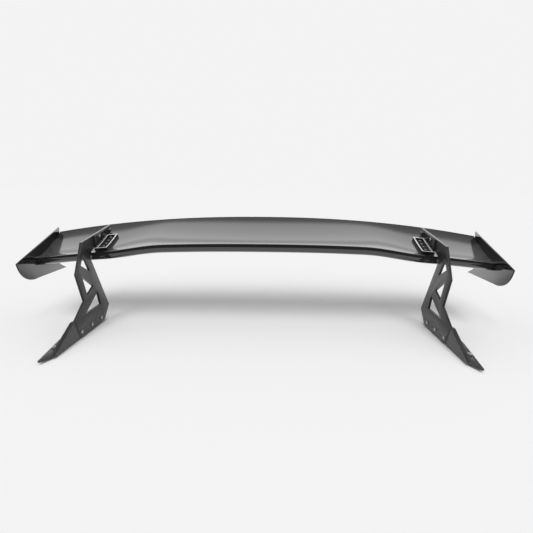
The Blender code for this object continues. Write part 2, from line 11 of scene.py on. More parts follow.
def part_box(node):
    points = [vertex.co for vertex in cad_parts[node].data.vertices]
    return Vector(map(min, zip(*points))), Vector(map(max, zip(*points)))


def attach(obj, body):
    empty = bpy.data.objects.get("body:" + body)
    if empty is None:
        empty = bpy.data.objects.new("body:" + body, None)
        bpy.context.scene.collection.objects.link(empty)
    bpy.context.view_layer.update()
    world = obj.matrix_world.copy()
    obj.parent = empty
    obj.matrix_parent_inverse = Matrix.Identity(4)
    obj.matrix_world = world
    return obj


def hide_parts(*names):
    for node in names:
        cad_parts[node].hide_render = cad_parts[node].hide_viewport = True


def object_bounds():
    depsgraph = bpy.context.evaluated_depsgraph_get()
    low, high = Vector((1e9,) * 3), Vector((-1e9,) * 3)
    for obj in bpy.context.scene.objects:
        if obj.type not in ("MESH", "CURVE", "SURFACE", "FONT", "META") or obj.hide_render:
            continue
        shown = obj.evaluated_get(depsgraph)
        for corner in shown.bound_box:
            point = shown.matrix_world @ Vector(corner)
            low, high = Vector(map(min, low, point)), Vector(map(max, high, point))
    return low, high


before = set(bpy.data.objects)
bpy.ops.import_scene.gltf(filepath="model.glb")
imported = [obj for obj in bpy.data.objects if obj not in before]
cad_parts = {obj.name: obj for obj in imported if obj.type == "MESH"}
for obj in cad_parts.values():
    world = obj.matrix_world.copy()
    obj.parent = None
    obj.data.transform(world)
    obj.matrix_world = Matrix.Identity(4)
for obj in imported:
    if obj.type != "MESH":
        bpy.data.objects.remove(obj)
cad_box = [list(corner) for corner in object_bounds()]

# ---------------------------------------------------------------------------------------------
# Studio: a camera in front of the wing and a little above it, a pale floor that runs out into a
# pale room, and soft light from above and in front. None of it is part of the object.
# ---------------------------------------------------------------------------------------------

CAMERA_PLACE = (0.0499, -1.5455, 0.5184)
CAMERA_PITCH = math.radians(-10.0)
CAMERA_YAW = math.radians(1.33)
CAMERA_ROLL = math.radians(0.48)
CAMERA_LENS = 30.39  # mm, on a sensor 36 mm wide
ROOM_WHITE = (0.896, 0.896, 0.896)
CAMERA_REACH = 200.0
FLOOR_HALF = 60.0
FLOOR_TONE = (0.82, 0.82, 0.82)
FLOOR_ROUGHNESS = 0.9

bpy.context.scene.view_settings.view_transform = "Standard"

camera_data = bpy.data.cameras.new("camera")
camera_data.lens = CAMERA_LENS
camera_data.clip_end = CAMERA_REACH
camera = bpy.data.objects.new("camera", camera_data)
bpy.context.scene.collection.objects.link(camera)
turn = Matrix.Rotation(CAMERA_YAW, 4, "Z") @ Matrix.Rotation(math.pi / 2 + CAMERA_PITCH, 4, "X")
camera.matrix_world = Matrix.Translation(CAMERA_PLACE) @ turn @ Matrix.Rotation(CAMERA_ROLL, 4, "Z")
bpy.context.scene.camera = camera

bpy.ops.object.select_all(action="DESELECT")
bpy.ops.mesh.primitive_plane_add(size=2 * FLOOR_HALF, location=(0, 0, 0))
floor = bpy.context.object
floor.name = "studio_floor"
floor_paint = bpy.data.materials.new("floor_paint")
floor_paint.use_nodes = True
floor_shader = floor_paint.node_tree.nodes["Principled BSDF"]
floor_shader.inputs["Base Color"].default_value = (*FLOOR_TONE, 1.0)
floor_shader.inputs["Roughness"].default_value = FLOOR_ROUGHNESS
floor_shader.inputs["Specular IOR Level"].default_value = 0.0
floor.data.materials.append(floor_paint)

# Two broad lights, one above the other, both leaning towards the front. The gloss doesn't show them.
LIGHT_ANGLE = math.radians(34)
LIGHT_STRENGTH = 1.38
LIGHT_LEANS = {"high_light": 40.0, "low_light": 53.0}  # degrees from straight overhead
for name, lean in LIGHT_LEANS.items():
    light = bpy.data.objects.new(name, bpy.data.lights.new(name, "SUN"))
    light.data.energy = LIGHT_STRENGTH
    light.data.angle = LIGHT_ANGLE
    light.rotation_euler = (math.radians(lean), 0, 0)
    light.visible_glossy = False
    bpy.context.scene.collection.objects.link(light)

# The room that the gloss reflects is pale round the horizon and dark overhead. Each stop is a place
# on the way from the back horizon, 0, over the top, 0.5, to the front one, 1, with its brightness.
# Matt faces get an even light from all round.
ROOM_LIGHT = (0.50, 0.50, 0.50)
ROOM_STOPS = (
    (0.00, 1.00), (0.145, 1.05), (0.156, 0.72), (0.172, 0.72), (0.182, 1.08), (0.21, 0.98),
    (0.248, 0.96), (0.268, 0.34), (0.33, 0.26), (0.38, 0.03), (0.74, 0.02), (0.84, 0.85), (1.00, 0.90),
)
room = bpy.data.worlds.new("room")
bpy.context.scene.world = room
room.use_nodes = True
nodes, links = room.node_tree.nodes, room.node_tree.links
way = nodes.new("ShaderNodeTexCoord")
split = nodes.new("ShaderNodeSeparateXYZ")
links.new(way.outputs["Generated"], split.inputs[0])
rise = nodes.new("ShaderNodeMath")
rise.operation = "ARCTAN2"
links.new(split.outputs["Z"], rise.inputs[0])
links.new(split.outputs["Y"], rise.inputs[1])
share = nodes.new("ShaderNodeMath")
share.operation = "DIVIDE"
links.new(rise.outputs[0], share.inputs[0])
share.inputs[1].default_value = math.pi
ramp = nodes.new("ShaderNodeValToRGB")
for place, level in ROOM_STOPS[1:-1]:
    ramp.color_ramp.elements.new(place)
for stop, (place, level) in zip(ramp.color_ramp.elements, ROOM_STOPS, strict=True):
    stop.position = place
    stop.color = (level, level, level, 1.0)
links.new(share.outputs[0], ramp.inputs[0])
seen = nodes.new("ShaderNodeLightPath")
lit = nodes.new("ShaderNodeMix")
lit.data_type = "RGBA"
links.new(seen.outputs["Is Glossy Ray"], lit.inputs["Factor"])
lit.inputs["A"].default_value = (*ROOM_LIGHT, 1.0)
links.new(ramp.outputs["Color"], lit.inputs["B"])
pick = nodes.new("ShaderNodeMix")
pick.data_type = "RGBA"
links.new(seen.outputs["Is Camera Ray"], pick.inputs["Factor"])
links.new(lit.outputs["Result"], pick.inputs["A"])
pick.inputs["B"].default_value = (*ROOM_WHITE, 1.0)
links.new(pick.outputs["Result"], nodes["Background"].inputs["Color"])

# ---------------------------------------------------------------------------------------------
# Uprights: two 8 mm aluminium plates cut to a swan neck, with three triangular lightening holes.
# Satin black flats, the cut faces that look forward, back or down painted near black as shade, the broken
# corners painted pale and the arm's top edge lighter as highlights. From its arm each carries the blade.
# ---------------------------------------------------------------------------------------------

PLATE_BREAK = 0.0013
SATIN_BLACK = (0.029, 0.029, 0.030)
SATIN_WORN = (0.34, 0.34, 0.35)
SATIN_GLOSS = 0.36
EDGE_HIGHLIGHT_TONE = (0.50, 0.50, 0.51)
TOP_HIGHLIGHT_TONE = (0.22, 0.22, 0.225)
# Near black: the brackets' own colour, and painted shade on the plates' cut faces
BLACK_AND_SHADE_TONE = (0.008, 0.008, 0.009)
SHADE_LEAN = 0.3  # a cut face gets painted shade when its normal leans less than this to the side and less than this up
EDGE_SLOT, SHADE_SLOT, TOP_SLOT = 1, 2, 3  # material slots of a plate, after that of its flats
MERGE_WITHIN = 0.00001
FLAT_WITHIN = math.radians(0.6)
SHARP_OVER = math.radians(35)
SIDES = {"left": -1, "right": 1}


def effect_group(name, inputs, outputs):
    """An empty shader node group with its sockets. inputs gives (name, type, value)."""
    group = bpy.data.node_groups.new(name, "ShaderNodeTree")
    for label, kind, value in inputs:
        socket = group.interface.new_socket(label, in_out="INPUT", socket_type=kind)
        if value is not None:
            socket.default_value = value
    for label, kind in outputs:
        group.interface.new_socket(label, in_out="OUTPUT", socket_type=kind)
    group.nodes.new("NodeGroupInput")
    group.nodes.new("NodeGroupOutput")
    return group


def add_node(tree, kind, values=(), **settings):
    """A node with its settings, and values for inputs by name or number."""
    node = tree.nodes.new(kind)
    for word, value in settings.items():
        setattr(node, word, value)
    for place, value in dict(values).items():
        node.inputs[place].default_value = value
    return node


def make_edge_wear():
    """Mask that is 1 where an edge has been rubbed, broken up by noise."""
    group = effect_group(
        "edge_wear",
        [("Radius", "NodeSocketFloat", 0.001), ("Amount", "NodeSocketFloat", 0.5)],
        [("Mask", "NodeSocketFloat")],
    )
    given, put = group.nodes["Group Input"], group.nodes["Group Output"]
    round_normal = add_node(group, "ShaderNodeBevel", samples=4)
    group.links.new(given.outputs["Radius"], round_normal.inputs["Radius"])
    flat = add_node(group, "ShaderNodeNewGeometry")
    alike = add_node(group, "ShaderNodeVectorMath", operation="DOT_PRODUCT")
    group.links.new(round_normal.outputs[0], alike.inputs[0])
    group.links.new(flat.outputs["Normal"], alike.inputs[1])
    edge = add_node(group, "ShaderNodeMapRange", {"From Min": 0.995, "From Max": 0.90})
    group.links.new(alike.outputs["Value"], edge.inputs["Value"])
    place = add_node(group, "ShaderNodeTexCoord")
    patchy = add_node(group, "ShaderNodeTexNoise", {"Scale": 60.0, "Detail": 6.0, "Roughness": 0.7})
    group.links.new(place.outputs["Object"], patchy.inputs["Vector"])
    broken = add_node(group, "ShaderNodeMapRange", {"From Min": 0.42, "From Max": 0.62})
    group.links.new(patchy.outputs["Fac"], broken.inputs["Value"])
    rubbed = add_node(group, "ShaderNodeMath", operation="MULTIPLY")
    group.links.new(edge.outputs[0], rubbed.inputs[0])
    group.links.new(broken.outputs[0], rubbed.inputs[1])
    scaled = add_node(group, "ShaderNodeMath", operation="MULTIPLY", use_clamp=True)
    group.links.new(rubbed.outputs[0], scaled.inputs[0])
    group.links.new(given.outputs["Amount"], scaled.inputs[1])
    group.links.new(scaled.outputs[0], put.inputs["Mask"])
    return group


def make_fine_grain():
    """Grain of a blasted or brushed metal: stretched noise as a height, and a slow cloud for tone."""
    group = effect_group(
        "fine_grain",
        [("Stretch", "NodeSocketVector", (1.0, 1.0, 1.0)), ("Scale", "NodeSocketFloat", 900.0)],
        [("Height", "NodeSocketFloat"), ("Cloud", "NodeSocketFloat")],
    )
    given, put = group.nodes["Group Input"], group.nodes["Group Output"]
    place = add_node(group, "ShaderNodeTexCoord")
    drawn = add_node(group, "ShaderNodeVectorMath", operation="MULTIPLY")
    group.links.new(place.outputs["Object"], drawn.inputs[0])
    group.links.new(given.outputs["Stretch"], drawn.inputs[1])
    grain = add_node(group, "ShaderNodeTexNoise", {"Detail": 3.0, "Roughness": 0.6})
    group.links.new(drawn.outputs[0], grain.inputs["Vector"])
    group.links.new(given.outputs["Scale"], grain.inputs["Scale"])
    cloud = add_node(group, "ShaderNodeTexNoise", {"Scale": 14.0, "Detail": 4.0})
    group.links.new(place.outputs["Object"], cloud.inputs["Vector"])
    group.links.new(grain.outputs["Fac"], put.inputs["Height"])
    group.links.new(cloud.outputs["Fac"], put.inputs["Cloud"])
    return group


edge_wear = make_edge_wear()
fine_grain = make_fine_grain()
GRAIN_SPREAD = 0.06
TONE_DARKER, TONE_LIGHTER = 0.85, 1.18
WEAR_RADIUS = 0.0012


def use_group(tree, group, **values):
    node = tree.nodes.new("ShaderNodeGroup")
    node.node_tree = group
    for label, value in values.items():
        node.inputs[label].default_value = value
    return node


def metal_finish(name, colour, worn, roughness, metallic, grain_scale, stretch, wear, bump):
    """A metal part's finish: a tone that drifts, grain in its roughness and relief, rubbed edges."""
    finish = bpy.data.materials.new(name)
    finish.use_nodes = True
    tree = finish.node_tree
    shader = tree.nodes["Principled BSDF"]
    shader.inputs["Metallic"].default_value = metallic
    grain = use_group(tree, fine_grain, Stretch=stretch, Scale=grain_scale)
    rubbed = use_group(tree, edge_wear, Radius=WEAR_RADIUS, Amount=wear)
    tone = add_node(tree, "ShaderNodeMix", data_type="RGBA")
    tone.inputs["A"].default_value = (*[TONE_DARKER * part for part in colour], 1.0)
    tone.inputs["B"].default_value = (*[TONE_LIGHTER * part for part in colour], 1.0)
    tree.links.new(grain.outputs["Cloud"], tone.inputs["Factor"])
    bare = add_node(tree, "ShaderNodeMix", data_type="RGBA")
    bare.inputs["B"].default_value = (*worn, 1.0)
    tree.links.new(rubbed.outputs["Mask"], bare.inputs["Factor"])
    tree.links.new(tone.outputs["Result"], bare.inputs["A"])
    tree.links.new(bare.outputs["Result"], shader.inputs["Base Color"])
    spread = {"To Min": roughness - GRAIN_SPREAD, "To Max": roughness + GRAIN_SPREAD}
    rough = add_node(tree, "ShaderNodeMapRange", spread)
    tree.links.new(grain.outputs["Height"], rough.inputs["Value"])
    tree.links.new(rough.outputs[0], shader.inputs["Roughness"])
    relief = add_node(tree, "ShaderNodeBump", {"Strength": bump, "Distance": 0.0002})
    tree.links.new(grain.outputs["Height"], relief.inputs["Height"])
    tree.links.new(relief.outputs[0], shader.inputs["Normal"])
    return finish


satin_black = metal_finish(
    "satin_black_anodised", SATIN_BLACK, SATIN_WORN, 0.36, 0.1, 1100.0, (1.0, 1.0, 1.0), 0.8, 0.3
)
satin_black.node_tree.nodes["Principled BSDF"].inputs["Specular IOR Level"].default_value = SATIN_GLOSS


# Pale finish for the broken edges of the uprights and feet: a painted highlight.
edge_highlight_paint = metal_finish(
    "edge_highlight_paint_alloy", EDGE_HIGHLIGHT_TONE, SATIN_WORN, 0.30, 0.4, 1100.0, (1.0, 1.0, 1.0), 0.4, 0.2
)
# Lighter finish for the arm's faces that look up: a painted highlight.
top_highlight_paint = metal_finish(
    "top_highlight_paint_alloy", TOP_HIGHLIGHT_TONE, SATIN_WORN, 0.30, 0.4, 1100.0, (1.0, 1.0, 1.0), 0.4, 0.2
)
# Near black: the brackets' own colour, and painted shade on the plates' cut faces that look forward, back
# or down.
black_and_shade_finish = metal_finish(
    "black_anodised_and_painted_shade", BLACK_AND_SHADE_TONE, SATIN_WORN, 0.26, 0.1, 1100.0, (1.0, 1.0, 1.0), 0.2, 0.2
)


def plate_from(node, name, width, material, edge_material, shade_material):
    """A plate over the CAD solid it follows: merged, flats made whole, then its edges broken.

    The cut faces that look forward, back or down get their own finish, painted darker than the flats as
    shade.
    """
    piece = bpy.data.objects.new(name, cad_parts[node].data.copy())
    bpy.context.scene.collection.objects.link(piece)
    bpy.ops.object.select_all(action="DESELECT")
    piece.select_set(True)
    bpy.context.view_layer.objects.active = piece
    bpy.ops.object.mode_set(mode="EDIT")
    bpy.ops.mesh.select_all(action="SELECT")
    bpy.ops.mesh.remove_doubles(threshold=MERGE_WITHIN)
    bpy.ops.mesh.dissolve_limited(angle_limit=FLAT_WITHIN)
    bpy.ops.object.mode_set(mode="OBJECT")
    piece.data.materials.clear()
    for finish in (material, edge_material, shade_material):
        piece.data.materials.append(finish)
    # Painted shade: the cut faces that look forward, back or down get the darker finish.
    for face in piece.data.polygons:
        if abs(face.normal.x) < SHADE_LEAN and face.normal.z < SHADE_LEAN:
            face.material_index = SHADE_SLOT
    # The broken edges get edge_material; on the uprights, feet and brackets that is a pale painted
    # highlight.
    broken = piece.modifiers.new("broken_edges", "BEVEL")
    broken.material = EDGE_SLOT
    broken.width = width
    broken.segments = 3
    broken.limit_method = "ANGLE"
    broken.angle_limit = SHARP_OVER
    broken.use_clamp_overlap = True
    bpy.ops.object.modifier_apply(modifier=broken.name)
    bpy.ops.object.shade_smooth_by_angle(angle=SHARP_OVER)
    return piece


ARM_LOW = 0.30  # the arm's top edge, painted lighter as a highlight, is above this
TOP_FACING = 0.6

for label in SIDES:
    node = f"upright_{label}"
    neck = plate_from(node, f"swan_neck_{label}", PLATE_BREAK, satin_black, edge_highlight_paint, black_and_shade_finish)
    neck.data.materials.append(top_highlight_paint)
    # Painted highlight: the arm's faces that look up get the lighter finish.
    for face in neck.data.polygons:
        if face.center.z > ARM_LOW and face.normal.z > TOP_FACING:
            face.material_index = TOP_SLOT
    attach(neck, "stand")
    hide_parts(node)

# ---------------------------------------------------------------------------------------------
# Feet: machined aluminium angles. The upstanding web is bolted to the outer face of the upright
# and the base flange runs outboard and forward to a tip. The same satin black as the uprights.
# ---------------------------------------------------------------------------------------------

FOOT_BREAK = 0.0012

for label in SIDES:
    node = f"foot_{label}"
    # The cut faces that look forward, back or down get painted shade, and the broken edges a pale painted
    # highlight.
    shoe = plate_from(node, f"wedge_foot_{label}", FOOT_BREAK, satin_black, edge_highlight_paint, black_and_shade_finish)
    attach(shoe, "stand")
    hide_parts(node)

# ---------------------------------------------------------------------------------------------
# Bolts through the plates: M6 button heads with a hexagon socket, zinc plated and dark passivated,
# each with a locking nut on the outer side. Three hold a foot, and two hold each bracket.
# ---------------------------------------------------------------------------------------------

ROUND = 40  # sides of a turned part
SQUARE_ON = 0.9
DOME_SHARE = 0.62  # of a button head's height
SOCKET_SHARE = 0.42  # of its radius
POINT_SHARE = 0.82  # of the shank's radius
NUT_CHAMFER = 0.16
DARK_ZINC = (0.40, 0.40, 0.41)
ZINC_BRIGHT = (0.55, 0.55, 0.56)

dark_zinc = metal_finish(
    "dark_zinc_steel", DARK_ZINC, ZINC_BRIGHT, 0.22, 0.7, 1600.0, (1.0, 1.0, 1.0), 0.7, 0.08
)


def edit_only(piece):
    """Deselects everything but one piece and makes it the active one."""
    bpy.ops.object.select_all(action="DESELECT")
    piece.select_set(True)
    bpy.context.view_layer.objects.active = piece


def pick_where(piece, test, what):
    """In edit mode, selects the edges, or the faces square to the bolt's axis, that pass the test."""
    bpy.ops.mesh.select_mode(type=what)
    bpy.ops.mesh.select_all(action="DESELECT")
    shape = bmesh.from_edit_mesh(piece.data)
    if what == "EDGE":
        for edge in shape.edges:
            if all(test(corner.co) for corner in edge.verts):
                edge.select_set(True)
    else:
        for face in shape.faces:
            face.select_set(test(face.calc_center_median()) and abs(face.normal.z) > SQUARE_ON)
    bmesh.update_edit_mesh(piece.data)


def combine(piece, tool, operation):
    """Cuts, keeps or adds what a tool covers, and throws the tool away."""
    step = piece.modifiers.new("combine", "BOOLEAN")
    step.operation = operation
    step.solver = "EXACT"
    step.object = tool
    edit_only(piece)
    bpy.ops.object.modifier_apply(modifier=step.name)
    bpy.data.objects.remove(tool)


def button_screw(name, head, height, shank, length):
    """A domed screw with a hexagon socket, its head standing on Z = 0 and its shank going down."""
    bpy.ops.mesh.primitive_cylinder_add(
        vertices=ROUND, radius=head, depth=height, location=(0, 0, height / 2)
    )
    screw = bpy.context.object
    screw.name = name
    bpy.ops.object.transform_apply(location=True)
    bpy.ops.object.mode_set(mode="EDIT")
    pick_where(screw, lambda place: place.z > height * 0.99, "EDGE")
    bpy.ops.mesh.bevel(offset=height * DOME_SHARE, segments=6, profile=0.5)
    pick_where(screw, lambda place: place.z < height * 0.01, "FACE")
    bpy.ops.mesh.inset(thickness=head - shank)
    bpy.ops.mesh.extrude_region_move(TRANSFORM_OT_translate={"value": (0, 0, -length + shank * 0.2)})
    bpy.ops.mesh.extrude_region_move(TRANSFORM_OT_translate={"value": (0, 0, -shank * 0.2)})
    bpy.ops.transform.resize(value=(POINT_SHARE, POINT_SHARE, 1.0))
    bpy.ops.object.mode_set(mode="OBJECT")
    bpy.ops.mesh.primitive_cylinder_add(
        vertices=6, radius=head * SOCKET_SHARE, depth=height * 1.2, location=(0, 0, height * 0.98)
    )
    combine(screw, bpy.context.object, "DIFFERENCE")
    bpy.ops.object.shade_smooth_by_angle(angle=math.radians(32))
    screw.data.materials.append(dark_zinc)
    return screw


def lock_nut(name, bolt_radius, corner, height):
    """A hexagon nut, chamfered on both faces and bored for its bolt, from Z = 0 down."""
    bpy.ops.mesh.primitive_cylinder_add(
        vertices=6, radius=corner, depth=height, location=(0, 0, -height / 2)
    )
    nut = bpy.context.object
    nut.name = name
    bpy.ops.object.transform_apply(location=True)
    bpy.ops.mesh.primitive_cylinder_add(
        vertices=ROUND, radius=corner * 0.995, depth=height, location=(0, 0, -height / 2)
    )
    turned = bpy.context.object
    bpy.ops.object.transform_apply(location=True)
    bpy.ops.object.mode_set(mode="EDIT")
    pick_where(turned, lambda place: min(abs(place.z), abs(place.z + height)) < 0.00001, "EDGE")
    bpy.ops.mesh.bevel(offset=corner * NUT_CHAMFER, segments=2, profile=0.5)
    bpy.ops.object.mode_set(mode="OBJECT")
    combine(nut, turned, "INTERSECT")
    bpy.ops.mesh.primitive_cylinder_add(
        vertices=ROUND, radius=bolt_radius + 0.0001, depth=height * 3, location=(0, 0, -height / 2)
    )
    combine(nut, bpy.context.object, "DIFFERENCE")
    bpy.ops.object.shade_smooth_by_angle(angle=math.radians(25))
    nut.data.materials.append(dark_zinc)
    return nut


def put_copy(model, name, place, axis, body, node, spin=0.0):
    """A copy of a modelled fastener, with its seat at place and its head on the axis's side."""
    piece = bpy.data.objects.new(name, model.data.copy())
    bpy.context.scene.collection.objects.link(piece)
    aimed = Vector((0, 0, 1)).rotation_difference(Vector(axis)).to_matrix().to_4x4()
    piece.data.transform(Matrix.Translation(place) @ aimed @ Matrix.Rotation(spin, 4, "Z"))
    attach(piece, body)
    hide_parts(node)
    return piece


def middle_of(node):
    low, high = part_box(node)
    return (low + high) / 2


M6_HEAD = 0.0064
M6_HEAD_HEIGHT = 0.0042
M6_SHANK = 0.0030
NUT_HEIGHT = 0.005
BOLT_PAIRS = [(f"foot_bolt_{{}}_{number}", f"foot_nut_{{}}_{number}") for number in (1, 2, 3)]
BOLT_PAIRS += [("pivot_bolt_{}", "pivot_nut_{}"), ("angle_bolt_{}", "angle_nut_{}")]

nut_model = lock_nut("nut_model", M6_SHANK, M6_HEAD, NUT_HEIGHT)
for label, side in SIDES.items():
    for turn_number, (bolt_name, nut_name) in enumerate(BOLT_PAIRS):
        bolt_node, nut_node = bolt_name.format(label), nut_name.format(label)
        low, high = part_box(bolt_node)
        length = high.x - low.x - M6_HEAD_HEIGHT
        seat = (low.x + M6_HEAD_HEIGHT) if side > 0 else (high.x - M6_HEAD_HEIGHT)
        centre = middle_of(bolt_node)
        model = button_screw("bolt_model", M6_HEAD, M6_HEAD_HEIGHT, M6_SHANK, length)
        place = Vector((seat, centre.y, centre.z))
        spin = 0.35 + 0.5 * turn_number
        put_copy(model, "button_" + bolt_node, place, (-side, 0, 0), "stand", bolt_node, spin=spin)
        bpy.data.objects.remove(model)
        low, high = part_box(nut_node)
        inner = low.x if side > 0 else high.x
        place = Vector((inner, centre.y, centre.z))
        put_copy(nut_model, "lock_" + nut_node, place, (-side, 0, 0), "stand", nut_node, spin=spin)
bpy.data.objects.remove(nut_model)

# ---------------------------------------------------------------------------------------------
# Base bolts: M8 hexagon screws down through each foot flange, with a nut under it, where the
# panel that the wing is bolted to would be clamped. The wing stands on their ends.
# ---------------------------------------------------------------------------------------------

M8_HEAD = 0.0072
M8_HEAD_HEIGHT = 0.0055
M8_SHANK = 0.0040
THREAD_PITCH = 0.00125
THREAD_DEPTH = 0.0004
HEAD_CHAMFER = 0.18
WASHER_FACE = 0.0005  # plain shank under the head


def hexagon_bolt(name, length):
    """A hexagon head with a turned top face and a washer face, on a shank with rolled thread crests."""
    bpy.ops.mesh.primitive_cylinder_add(
        vertices=6, radius=M8_HEAD, depth=M8_HEAD_HEIGHT, location=(0, 0, M8_HEAD_HEIGHT / 2)
    )
    bolt = bpy.context.object
    bolt.name = name
    bpy.ops.object.transform_apply(location=True)
    bpy.ops.mesh.primitive_cylinder_add(
        vertices=ROUND, radius=M8_HEAD * 0.995, depth=M8_HEAD_HEIGHT, location=(0, 0, M8_HEAD_HEIGHT / 2)
    )
    turned = bpy.context.object
    bpy.ops.object.transform_apply(location=True)
    bpy.ops.object.mode_set(mode="EDIT")
    pick_where(turned, lambda place: place.z > M8_HEAD_HEIGHT * 0.99, "EDGE")
    bpy.ops.mesh.bevel(offset=M8_HEAD * HEAD_CHAMFER, segments=2, profile=0.5)
    bpy.ops.object.mode_set(mode="OBJECT")
    combine(bolt, turned, "INTERSECT")
    bpy.ops.mesh.primitive_cylinder_add(vertices=ROUND, radius=M8_SHANK, depth=2 * WASHER_FACE)
    shank = bpy.context.object
    bpy.ops.object.transform_apply(location=True)
    bpy.ops.object.mode_set(mode="EDIT")
    pick_where(shank, lambda place: place.z < 0, "FACE")
    threaded = length - WASHER_FACE
    turns = int(threaded / THREAD_PITCH)
    bpy.ops.mesh.extrude_region_move(
        TRANSFORM_OT_translate={"value": (0, 0, turns * THREAD_PITCH - threaded)}
    )
    inward = (M8_SHANK - THREAD_DEPTH) / M8_SHANK
    for _ in range(turns):
        bpy.ops.mesh.extrude_region_move(TRANSFORM_OT_translate={"value": (0, 0, -THREAD_PITCH / 2)})
        bpy.ops.transform.resize(value=(inward, inward, 1.0))
        bpy.ops.mesh.extrude_region_move(TRANSFORM_OT_translate={"value": (0, 0, -THREAD_PITCH / 2)})
        bpy.ops.transform.resize(value=(1 / inward, 1 / inward, 1.0))
    bpy.ops.object.mode_set(mode="OBJECT")
    combine(bolt, shank, "UNION")
    bpy.ops.object.shade_smooth_by_angle(angle=math.radians(25))
    bolt.data.materials.append(dark_zinc)
    return bolt


base_nut_model = lock_nut("base_nut_model", M8_SHANK, M8_HEAD, NUT_HEIGHT)
for label in SIDES:
    for number in (1, 2):
        node = f"base_bolt_{label}_{number}"
        low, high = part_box(node)
        seat = high.z - M8_HEAD_HEIGHT
        centre = middle_of(node)
        model = hexagon_bolt("bolt_model", seat - low.z)
        put_copy(model, "hexagon_" + node, Vector((centre.x, centre.y, seat)), (0, 0, 1), "stand", node)
        bpy.data.objects.remove(model)
        node = f"base_nut_{label}_{number}"
        place = Vector((centre.x, centre.y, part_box(node)[1].z))
        put_copy(base_nut_model, "hexagon_" + node, place, (0, 0, 1), "stand", node, spin=0.4 * number)
bpy.data.objects.remove(base_nut_model)

# ---------------------------------------------------------------------------------------------
# Blade skins: two carbon fibre mouldings, 1.5 mm thick and bonded edge to edge, the lower one with
# the solid nose. Twill cloth under a thick, polished clear coat.
# ---------------------------------------------------------------------------------------------

GAP = 0.0003
HALF_LENGTH = -cad_box[0][1]
BLADE_HALF_SPAN = 0.8437
SKIN = 0.0015
EDGE_BACK = 0.330  # the leading edge at the centre, behind the feet's tips
EDGE_HEIGHT = 0.3016
EDGE_SWEEP = 0.075
EDGE_ARCH = 0.0542
EDGE_STEP = 0.016
STEP_START = 0.36
STEP_END = 0.58
CHORD_RUN = 0.273
CHORD_RISE = 0.0974
TAIL_ARCH = 0.069
SECTION_HEIGHT = 0.29
NOSE_CHORD = 0.07
SPAN_CUTS = 179

CARBON_DARK = (0.0045, 0.0045, 0.0048)
CARBON_LIGHT = (0.0145, 0.0145, 0.015)
TOW = 0.002


def leading_edge(x):
    """(back, height) of the chord line's front end."""
    reach = abs(x) / BLADE_HALF_SPAN
    share = min(max((abs(x) - STEP_START) / (STEP_END - STEP_START), 0.0), 1.0)
    drop = EDGE_ARCH * reach**2.5 + EDGE_STEP * share * share * (3.0 - 2.0 * share)
    return EDGE_BACK + EDGE_SWEEP * reach**3, EDGE_HEIGHT - drop


def trailing_edge(x):
    reach = abs(x) / BLADE_HALF_SPAN
    return EDGE_BACK + CHORD_RUN, EDGE_HEIGHT + CHORD_RISE - TAIL_ARCH * reach**2.17


def chord_length(x):
    return math.dist(leading_edge(x), trailing_edge(x))


def blade_point(x, chord_share, height_share):
    front = Vector(leading_edge(x))
    chord = Vector(trailing_edge(x)) - front
    up = Vector((-chord.y, chord.x)).normalized() * SECTION_HEIGHT
    back, height = front + chord * chord_share + up * height_share
    return Vector((x, back - HALF_LENGTH, height))


def section_curve(start, handle_a, handle_b, end, count):
    corners = [Vector((*point, 0.0)) for point in (start, handle_a, handle_b, end)]
    return [(point.x, point.y) for point in interpolate_bezier(*corners, count)]


NOSE = section_curve((0.0, 0.0), (0.0, 0.032), (0.040, 0.0568), (NOSE_CHORD, 0.049), 16)
TOP = section_curve((NOSE_CHORD, 0.049), (0.15, 0.028), (0.62, -0.030), (1.0, 0.0035), 44)
BELLY = section_curve((0.0, 0.0), (0.0, -0.052), (0.13, -0.105), (0.38, -0.103), 28)
TAIL = section_curve((0.38, -0.103), (0.62, -0.100), (0.85, -0.035), (1.0, -0.0035), 24)
BOTTOM = BELLY + TAIL[1:]


def height_on(curve, chord_share):
    """Height of a section curve at a chord share, straight between its points."""
    for (share_a, height_a), (share_b, height_b) in zip(curve, curve[1:]):
        if chord_share <= share_b:
            return height_a + (height_b - height_a) * (chord_share - share_a) / (share_b - share_a)
    return curve[-1][1]


def top_section(chord):
    """The upper skin's closed section: its outer face to the tail, then its inner face back."""
    shares = [NOSE_CHORD + 1.2 * GAP / chord] + [point[0] for point in TOP[1:]]
    outer = [(share, height_on(TOP, share)) for share in shares]
    inner = []
    for share, height in reversed(outer):
        floor_height = (height + height_on(BOTTOM, share) + GAP / SECTION_HEIGHT) / 2
        inner.append((share, max(height - SKIN / SECTION_HEIGHT, floor_height)))
    return outer + inner


def bottom_section(_chord):
    """The lower skin's closed section: its belly from the tail, round the nose, then its inner face."""
    inner = []
    for share in [NOSE_CHORD] + [point[0] for point in BOTTOM if point[0] > NOSE_CHORD + 0.005]:
        low = height_on(BOTTOM, share)
        roof = (low + height_on(TOP, share) - GAP / SECTION_HEIGHT) / 2
        inner.append((share, min(low + SKIN / SECTION_HEIGHT, roof)))
    return list(reversed(BOTTOM)) + NOSE[1:] + inner


